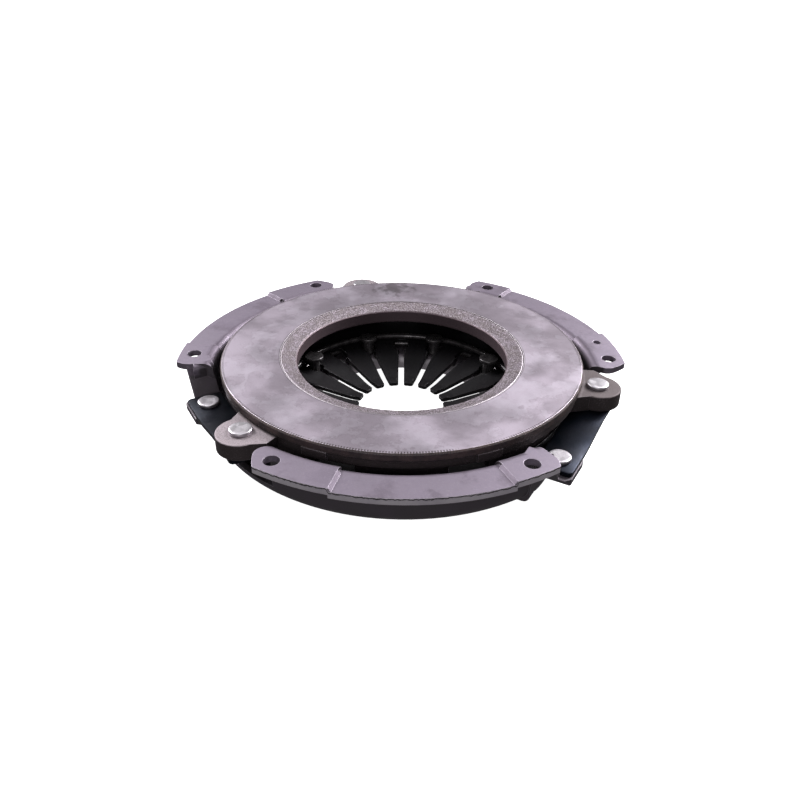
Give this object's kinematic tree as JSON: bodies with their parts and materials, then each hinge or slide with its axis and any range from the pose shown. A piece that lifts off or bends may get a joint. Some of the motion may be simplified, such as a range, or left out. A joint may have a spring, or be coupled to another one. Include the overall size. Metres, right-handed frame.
{
  "type": "clutch pressure plate",
  "caption": "Diaphragm-spring clutch cover assembly: pressed steel cover, cast pressure plate on tangential strap packs, slotted diaphragm spring on riveted fulcrum rings.",
  "frame": {"origin": "on the axis of rotation, in the plane of the bolting face of the cover flange", "axes": "+Z along the axis of rotation towards the flywheel, +X through a bolt hole, +Y to complete the right-handed frame"},
  "size_m": [0.2848, 0.2758, 0.0456],
  "materials": {
    "cover_steel": "satin phosphated deep-drawn steel",
    "plate_iron": "ground friction face on rough cast iron",
    "spring_steel": "near-black phosphated spring steel",
    "strap_steel": "blued spring steel",
    "rivet_steel": "bright plated",
    "dark_rivet_steel": "dark phosphated"
  },
  "bodies": {
    "cover": {"cover_pressing": "cover_steel", "diaphragm_spring": "spring_steel", "fulcrum_ring_plate_side": "spring_steel", "fulcrum_ring_cover_side": "spring_steel", "fulcrum_rivet_1": "dark_rivet_steel", "fulcrum_rivet_2": "dark_rivet_steel", "fulcrum_rivet_3": "dark_rivet_steel", "fulcrum_rivet_4": "dark_rivet_steel", "fulcrum_rivet_5": "dark_rivet_steel", "fulcrum_rivet_6": "dark_rivet_steel", "fulcrum_rivet_7": "dark_rivet_steel", "fulcrum_rivet_8": "dark_rivet_steel", "fulcrum_rivet_9": "dark_rivet_steel", "ledge_rivet_1": "rivet_steel", "ledge_rivet_2": "rivet_steel", "ledge_rivet_3": "rivet_steel", "strap_1_leaf_1": "strap_steel", "strap_1_leaf_2": "strap_steel", "strap_1_leaf_3": "strap_steel", "strap_2_leaf_1": "strap_steel", "strap_2_leaf_2": "strap_steel", "strap_2_leaf_3": "strap_steel", "strap_3_leaf_1": "strap_steel", "strap_3_leaf_2": "strap_steel", "strap_3_leaf_3": "strap_steel"},
    "plate": {"pressure_plate": "plate_iron", "lug_rivet_1": "rivet_steel", "lug_rivet_2": "rivet_steel", "lug_rivet_3": "rivet_steel"}
  },
  "joints": [
    {"name": "plate_lift", "type": "slide", "parent": "cover", "child": "plate", "axis": [0, 0, 1], "range_m": [-0.006, 0], "stiffness_N_per_m": 200000, "deforming": ["diaphragm_spring", "strap_1_leaf_1", "strap_1_leaf_2", "strap_1_leaf_3", "strap_2_leaf_1", "strap_2_leaf_2", "strap_2_leaf_3", "strap_3_leaf_1", "strap_3_leaf_2", "strap_3_leaf_3"]}
  ]
}
